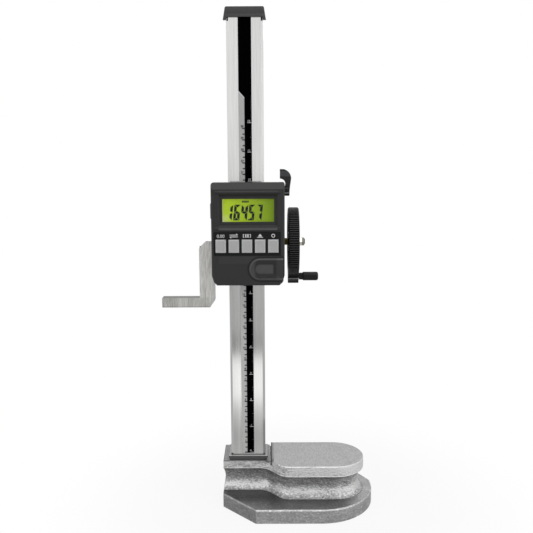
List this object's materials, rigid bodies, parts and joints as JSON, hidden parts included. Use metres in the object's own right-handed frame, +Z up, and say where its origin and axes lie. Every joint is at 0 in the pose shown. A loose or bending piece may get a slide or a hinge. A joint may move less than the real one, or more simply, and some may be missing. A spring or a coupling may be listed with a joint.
{
  "type": "digital height gauge",
  "caption": "Digital height gauge: waisted iron base, ground column with scale strip, crank-driven slider with display housing, cranked jaw and clamp lever.",
  "frame": {"origin": "on the flat underside of the base, directly under the middle of the column", "axes": "+Z up along the column, +X to the right as the display is read, towards the rest pad, +Y away from the reader, out of the back of the column"},
  "size_m": [0.1959, 0.1015, 0.4518],
  "materials": {
    "cast_iron_grey": "rough cast, silver-grey paint, ground top faces",
    "ground_steel": "ground along its length",
    "scale_print": "black and silver printed strip",
    "gear_steel": "oiled",
    "case_plastic": "fine moulded texture",
    "cap_plastic": "fine moulded texture",
    "panel_plastic": "satin film",
    "frame_paint": "black painted casting",
    "key_rubber": "light grey, matt",
    "wheel_plastic": "black, ribbed",
    "bright_nut": "bright plated",
    "black_screw": "black oxide",
    "bush_brass": "turned",
    "clear_window": "clear",
    "lcd_green": "yellow-green display with dark segments",
    "board_green": "printed circuit",
    "cell_steel": "nickel plated"
  },
  "bodies": {
    "base": {"base_casting": "cast_iron_grey", "column": "ground_steel", "foot_collar": "ground_steel", "column_bolts": "black_screw", "rack": "gear_steel", "rack_screws": "black_screw", "scale_strip": "scale_print", "column_cap": "cap_plastic", "cap_screw": "black_screw"},
    "slider": {"slider_frame": "frame_paint", "gib_strip": "bush_brass", "gib_screws": "black_screw", "clamp_shoe": "bush_brass", "shaft_bush": "bush_brass", "inner_bush": "bush_brass", "rear_cover": "case_plastic", "rear_cover_screws": "black_screw", "measuring_jaw": "ground_steel", "jaw_screws": "black_screw", "housing_front": "case_plastic", "housing_back": "case_plastic", "housing_screws": "black_screw", "mount_screws": "black_screw", "display_window": "clear_window", "lcd_module": "lcd_green", "circuit_board": "board_green", "key_switches": "bright_nut", "reader_head": "board_green", "key_panel": "panel_plastic", "coin_cell": "cell_steel", "battery_contacts": "bush_brass", "port_connector": "panel_plastic"},
    "crank_wheel": {"pinion_shaft": "gear_steel", "pinion": "gear_steel", "handwheel": "wheel_plastic", "wheel_washer": "bright_nut", "wheel_nut": "bright_nut", "grip_pin": "gear_steel"},
    "grip": {"crank_grip": "wheel_plastic"},
    "lever": {"clamp_lever": "wheel_plastic", "clamp_screw": "gear_steel"},
    "battery_cover": {"battery_cover": "case_plastic"},
    "port_cover": {"port_cover": "case_plastic"},
    "key_1": {"key_1": "key_rubber"},
    "key_2": {"key_2": "key_rubber"},
    "key_3": {"key_3": "key_rubber"},
    "key_4": {"key_4": "key_rubber"},
    "key_5": {"key_5": "key_rubber"}
  },
  "joints": [
    {"name": "slider_travel", "type": "slide", "parent": "base", "child": "slider", "axis": [0, 0, 1], "range_m": [-0.1645, 0.135]},
    {"name": "handwheel_spin", "type": "hinge", "parent": "slider", "child": "crank_wheel", "pos_m": [0.038, 0.0175, 0.2463], "axis": [1, 0, 0], "continuous": true},
    {"name": "grip_spin", "type": "hinge", "parent": "crank_wheel", "child": "grip", "pos_m": [0.0484, 0.0175, 0.2132], "axis": [1, 0, 0], "continuous": true},
    {"name": "clamp_lever_turn", "type": "hinge", "parent": "slider", "child": "lever", "pos_m": [0.03665, 0, 0.2946], "axis": [1, 0, 0], "range_deg": [-90, 36]},
    {"name": "battery_cover_slide", "type": "slide", "parent": "slider", "child": "battery_cover", "axis": [1, 0, 0], "range_m": [0, 0.0305]},
    {"name": "port_cover_slide", "type": "slide", "parent": "slider", "child": "port_cover", "axis": [-1, 0, 0], "range_m": [0, 0.006]},
    {"name": "key_1_press", "type": "slide", "parent": "slider", "child": "key_1", "axis": [0, 1, 0], "range_m": [0, 0.0008], "stiffness_N_per_m": 900, "springref_m": -0.0002},
    {"name": "key_2_press", "type": "slide", "parent": "slider", "child": "key_2", "axis": [0, 1, 0], "range_m": [0, 0.0008], "stiffness_N_per_m": 900, "springref_m": -0.0002},
    {"name": "key_3_press", "type": "slide", "parent": "slider", "child": "key_3", "axis": [0, 1, 0], "range_m": [0, 0.0008], "stiffness_N_per_m": 900, "springref_m": -0.0002},
    {"name": "key_4_press", "type": "slide", "parent": "slider", "child": "key_4", "axis": [0, 1, 0], "range_m": [0, 0.0008], "stiffness_N_per_m": 900, "springref_m": -0.0002},
    {"name": "key_5_press", "type": "slide", "parent": "slider", "child": "key_5", "axis": [0, 1, 0], "range_m": [0, 0.0008], "stiffness_N_per_m": 900, "springref_m": -0.0002}
  ],
  "couplings": [
    {"joint": "handwheel_spin", "follows": "slider_travel", "rad_per_m": 125}
  ]
}
